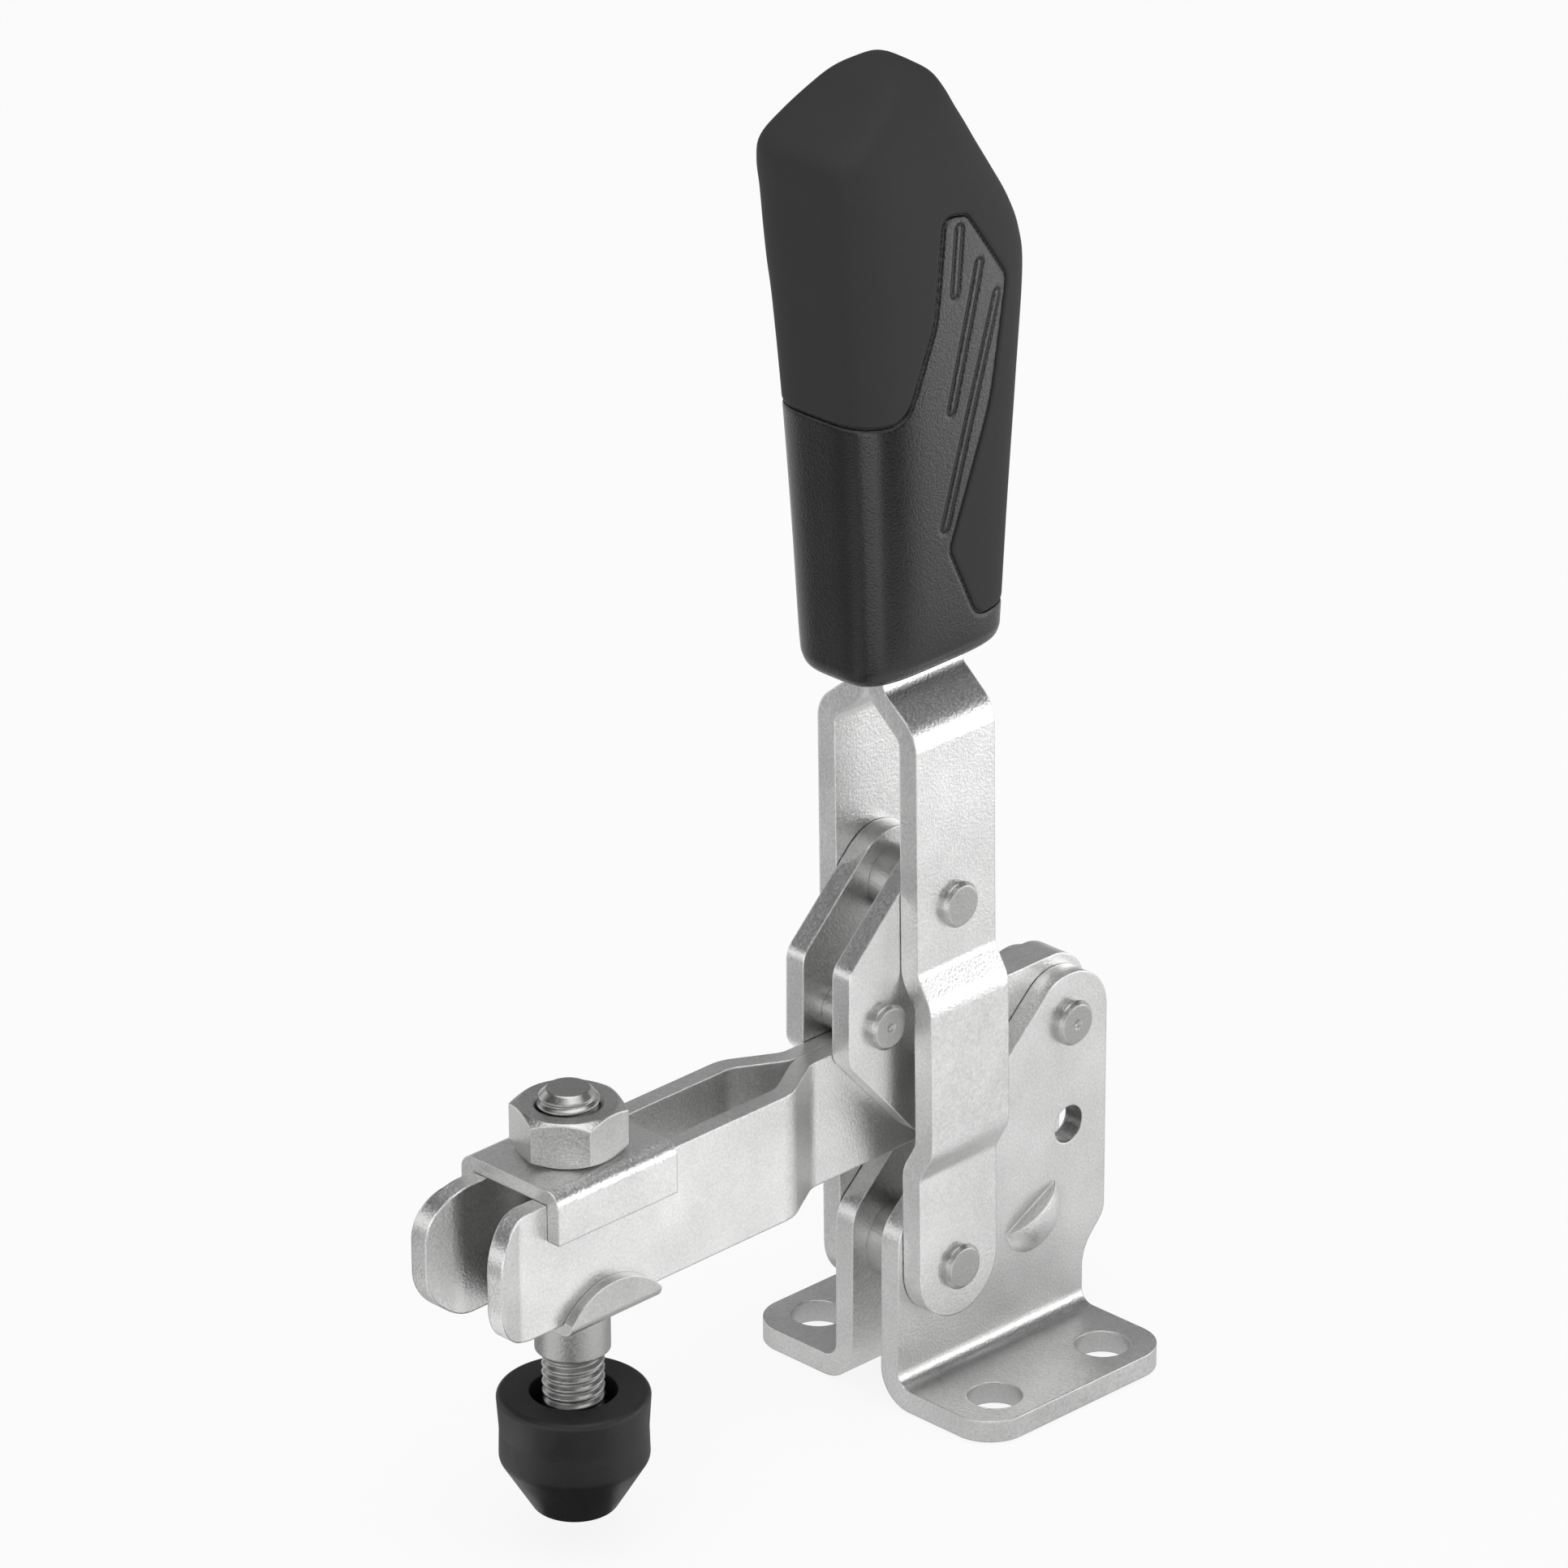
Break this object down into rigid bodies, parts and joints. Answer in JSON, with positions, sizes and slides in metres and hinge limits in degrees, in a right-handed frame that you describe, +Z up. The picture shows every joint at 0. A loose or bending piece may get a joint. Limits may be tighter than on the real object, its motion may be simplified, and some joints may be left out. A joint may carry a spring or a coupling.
{
  "type": "toggle clamp",
  "caption": "Vertical toggle clamp: a two-component hand grip swings an open forked arm with a rubber-capped screw; a sheet steel base with flanges bolts down.",
  "frame": {"origin": "centre of the four base holes, on the underside of the base flanges", "axes": "+Z up from the mounting surface, -X towards the tip of the clamping arm, Y across the arm"},
  "size_m": [0.11, 0.0444, 0.1834],
  "materials": {
    "zinc_sheet": "satin",
    "bright_steel": "satin",
    "grey_steel": "satin",
    "hard_plastic": "matte",
    "soft_plastic": "matte",
    "cap_rubber": "matte"
  },
  "bodies": {
    "base": {"base_plate_near": "zinc_sheet", "base_plate_far": "zinc_sheet", "base_spacer": "grey_steel", "arm_rivet": "bright_steel"},
    "handle": {"handle_plate_near": "zinc_sheet", "handle_plate_far": "zinc_sheet", "handle_rivet": "bright_steel", "top_rivet_ends": "bright_steel", "grip_body": "hard_plastic", "grip_skin": "soft_plastic"},
    "arm": {"arm_plate_near": "zinc_sheet", "arm_plate_far": "zinc_sheet", "rear_bush": "grey_steel", "front_bush": "grey_steel", "saddle": "zinc_sheet", "lower_washer": "zinc_sheet", "collar": "bright_steel", "hex_nut": "grey_steel", "clamping_screw": "bright_steel", "rubber_cap": "cap_rubber"},
    "link": {"link_plate_near": "zinc_sheet", "link_plate_far": "zinc_sheet", "link_rivet": "bright_steel", "link_pin": "bright_steel", "link_sleeve": "grey_steel", "stop_pin": "bright_steel"}
  },
  "joints": [
    {"name": "handle_swing", "type": "hinge", "parent": "base", "child": "handle", "pos_m": [-0.0093, 0, 0.0189], "axis": [0, 1, 0], "range_deg": [0, 60]},
    {"name": "arm_swing", "type": "hinge", "parent": "base", "child": "arm", "pos_m": [0.0142, 0, 0.0445], "axis": [0, 1, 0], "range_deg": [0, 105.7]},
    {"name": "link_swing", "type": "hinge", "parent": "arm", "child": "link", "pos_m": [-0.00934, 0, 0.0444], "axis": [0, 1, 0], "range_deg": [0, 42.6]}
  ],
  "couplings": [
    {"joint": "arm_swing", "follows": "handle_swing", "ratio": 1.7603},
    {"joint": "link_swing", "follows": "handle_swing", "ratio": 0.7091}
  ]
}
